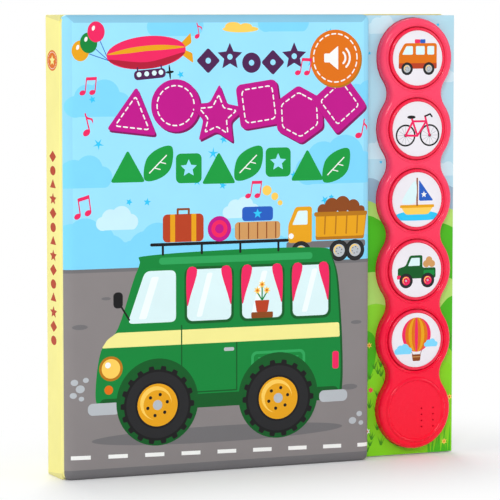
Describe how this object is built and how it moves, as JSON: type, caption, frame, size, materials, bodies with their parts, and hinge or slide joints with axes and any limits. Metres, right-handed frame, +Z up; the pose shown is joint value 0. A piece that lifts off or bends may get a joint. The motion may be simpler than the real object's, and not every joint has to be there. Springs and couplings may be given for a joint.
{
  "type": "sound book",
  "caption": "Padded children's sound book with a hinged front cover, thick board pages and a side strip of round push buttons above a small speaker.",
  "frame": {"origin": "middle of the bottom edge that the book stands on, halfway through its thickness", "axes": "+Z up along the spine, +X from the spine to the button strip, -Y out of the front cover"},
  "size_m": [0.224, 0.0274, 0.235],
  "materials": {
    "sky_print": "gloss",
    "cream_print": "gloss",
    "strip_print": "satin",
    "end_paper": "matte",
    "page_board": "satin",
    "grey_board": "matte",
    "padding": "matte",
    "red_plastic": "gloss",
    "base_plastic": "matte",
    "white_plastic": "satin",
    "black_plastic": "matte",
    "circuit_green": "satin",
    "steel": "satin",
    "contact_brass": "satin",
    "cone_paper": "matte"
  },
  "bodies": {
    "root": {"case_wrap": "cream_print", "spine_board": "grey_board", "back_board": "grey_board", "back_endpaper": "end_paper", "pages": "page_board", "module_bed": "grey_board", "strip_card": "strip_print", "module_housing": "red_plastic", "module_base": "base_plastic", "circuit_board": "circuit_green", "sound_chip": "black_plastic", "switch_body_1": "white_plastic", "switch_body_2": "white_plastic", "switch_body_3": "white_plastic", "switch_body_4": "white_plastic", "switch_body_5": "white_plastic", "speaker_basket": "steel", "speaker_cone": "cone_paper", "speaker_magnet": "steel", "speaker_wire_red": "base_plastic", "speaker_wire_black": "black_plastic", "button_cell_1": "steel", "button_cell_2": "steel", "button_cell_3": "steel", "battery_contact_1": "contact_brass", "battery_contact_2": "contact_brass", "battery_link": "contact_brass", "battery_door": "base_plastic", "battery_door_screw": "steel", "housing_screw_1": "steel", "housing_screw_2": "steel", "housing_screw_3": "steel", "housing_screw_4": "steel", "housing_screw_5": "steel", "housing_screw_6": "steel"},
    "front_cover": {"front_wrap": "sky_print", "front_padding": "padding", "front_board": "grey_board", "front_endpaper": "end_paper"},
    "button_1": {"button_cap_1": "red_plastic", "picture_disc_1": "white_plastic", "switch_plunger_1": "black_plastic"},
    "button_2": {"button_cap_2": "red_plastic", "picture_disc_2": "white_plastic", "switch_plunger_2": "black_plastic"},
    "button_3": {"button_cap_3": "red_plastic", "picture_disc_3": "white_plastic", "switch_plunger_3": "black_plastic"},
    "button_4": {"button_cap_4": "red_plastic", "picture_disc_4": "white_plastic", "switch_plunger_4": "black_plastic"},
    "button_5": {"button_cap_5": "red_plastic", "picture_disc_5": "white_plastic", "switch_plunger_5": "black_plastic"}
  },
  "joints": [
    {"name": "front_cover_hinge", "type": "hinge", "parent": "root", "child": "front_cover", "pos_m": [-0.112, -0.00785, 0.1175], "axis": [0, 0, -1], "range_deg": [0, 180]},
    {"name": "button_1_press", "type": "slide", "parent": "root", "child": "button_1", "axis": [0, 1, 0], "range_m": [0, 0.0012], "stiffness_N_per_m": 1500},
    {"name": "button_2_press", "type": "slide", "parent": "root", "child": "button_2", "axis": [0, 1, 0], "range_m": [0, 0.0012], "stiffness_N_per_m": 1500},
    {"name": "button_3_press", "type": "slide", "parent": "root", "child": "button_3", "axis": [0, 1, 0], "range_m": [0, 0.0012], "stiffness_N_per_m": 1500},
    {"name": "button_4_press", "type": "slide", "parent": "root", "child": "button_4", "axis": [0, 1, 0], "range_m": [0, 0.0012], "stiffness_N_per_m": 1500},
    {"name": "button_5_press", "type": "slide", "parent": "root", "child": "button_5", "axis": [0, 1, 0], "range_m": [0, 0.0012], "stiffness_N_per_m": 1500}
  ]
}
